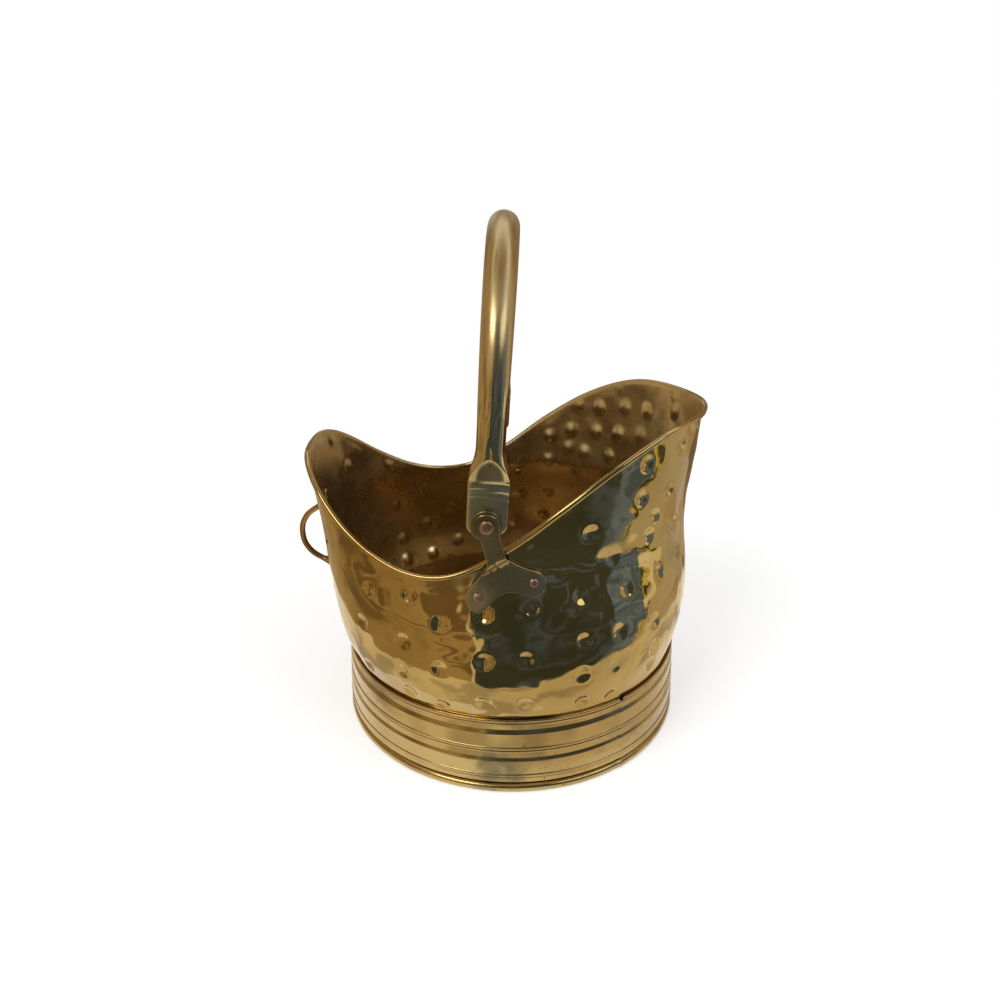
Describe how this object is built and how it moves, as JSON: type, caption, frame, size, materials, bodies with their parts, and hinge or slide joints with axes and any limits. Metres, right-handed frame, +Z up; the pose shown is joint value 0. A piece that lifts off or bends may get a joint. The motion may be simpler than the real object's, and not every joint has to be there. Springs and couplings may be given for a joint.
{
  "type": "coal scuttle",
  "caption": "Helmet-shaped hammered brass coal scuttle on a round foot, with a swinging bail handle and a small loop handle at the back.",
  "frame": {"origin": "on the floor, under the middle of the scuttle's overall length and width; the foot's own axis is 11.7 mm towards the spout", "axes": "+Z up, +X towards the pouring spout, +Y from the side that the picture shows to the far side, along the bail's pivots"},
  "size_m": [0.2933, 0.2518, 0.3591],
  "materials": {
    "hammered_brass": "polished hammered sheet with brown and olive tarnish, darker inside",
    "foot_brass": "polished sheet with tarnish in its moulded steps",
    "plate_brass": null,
    "handle_brass": "satin, with orange-brown and pale olive streaks",
    "bracket_brass": "dull olive grey",
    "copper": null,
    "iron_wire": "drawn iron wire inside the rolled edges; a guess, because it is hidden"
  },
  "bodies": {
    "scuttle": {"body_shell": "hammered_brass", "rim_wire": "iron_wire", "foot_ring": "foot_brass", "foot_wire": "iron_wire", "bottom_plate": "plate_brass", "bracket_near": "bracket_brass", "pivot_rivet_near": "copper", "outer_washer_near": "bracket_brass", "inner_washer_near": "bracket_brass", "bracket_rivet_front_near": "copper", "bracket_rivet_back_near": "copper", "bracket_far": "bracket_brass", "pivot_rivet_far": "copper", "outer_washer_far": "bracket_brass", "inner_washer_far": "bracket_brass", "bracket_rivet_front_far": "copper", "bracket_rivet_back_far": "copper", "back_loop_handle": "handle_brass", "loop_rivet_upper": "copper", "loop_rivet_lower": "copper"},
    "bail": {"bail_handle": "handle_brass"}
  },
  "joints": [
    {"name": "bail_pivot", "type": "hinge", "parent": "scuttle", "child": "bail", "pos_m": [-0.00311, 0, 0.1863], "axis": [0, 1, 0], "range_deg": [-111, 63]}
  ]
}
